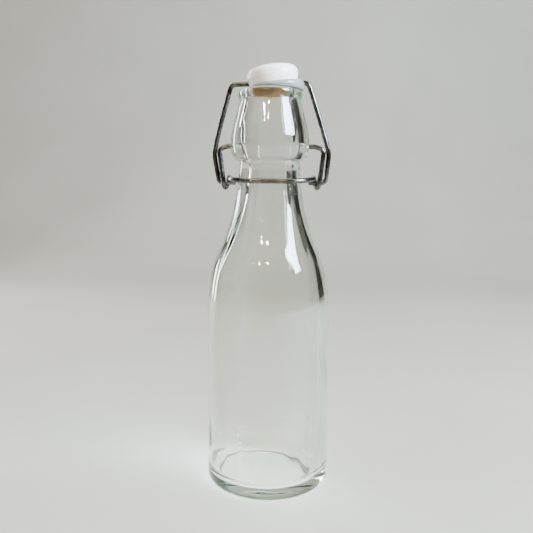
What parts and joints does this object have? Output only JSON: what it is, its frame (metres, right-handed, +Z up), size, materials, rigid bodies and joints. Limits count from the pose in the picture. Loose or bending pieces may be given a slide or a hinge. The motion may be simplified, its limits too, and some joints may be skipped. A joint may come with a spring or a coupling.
{
  "type": "swing-top bottle",
  "caption": "Small clear glass bottle with a swing-top closure: wire bail and lever, white moulded stopper head and rubber gasket, shown shut.",
  "frame": {"origin": "centre of the base, on the surface the bottle stands on", "axes": "+Z up along the bottle's axis; the lever's front loop faces -Y; the wire pivots lie along X"},
  "size_m": [0.06, 0.06, 0.2033],
  "materials": {
    "glass_bottle": "clear blown soda-lime glass, slightly green in its thick base",
    "lever_wire": "weathered galvanised wire",
    "bail_wire": "weathered galvanised wire",
    "stopper_head": "white moulded plastic",
    "gasket": "pale translucent rubber, amber where it sits in the mouth"
  },
  "bodies": {
    "bottle": {"glass_bottle": "glass_bottle"},
    "lever": {"lever_wire": "lever_wire"},
    "bail": {"bail_wire": "bail_wire"},
    "stopper": {"stopper_head": "stopper_head", "gasket": "gasket"}
  },
  "joints": [
    {"name": "lever_hinge", "type": "hinge", "parent": "bottle", "child": "lever", "pos_m": [0, 0, 0.1653], "axis": [-1, 0, 0], "range_deg": [0, 85]},
    {"name": "bail_hinge", "type": "hinge", "parent": "lever", "child": "bail", "pos_m": [0, 0.0024, 0.1481], "axis": [-1, 0, 0], "range_deg": [-56.2, 0]},
    {"name": "stopper_hinge", "type": "hinge", "parent": "bail", "child": "stopper", "pos_m": [-0.00024, 0, 0.1947], "axis": [-0.9995, 0, -0.0314], "range_deg": [-29, 0]}
  ],
  "couplings": [
    {"joint": "bail_hinge", "follows": "lever_hinge", "ratio": -0.66},
    {"joint": "stopper_hinge", "follows": "lever_hinge", "ratio": -0.34}
  ]
}
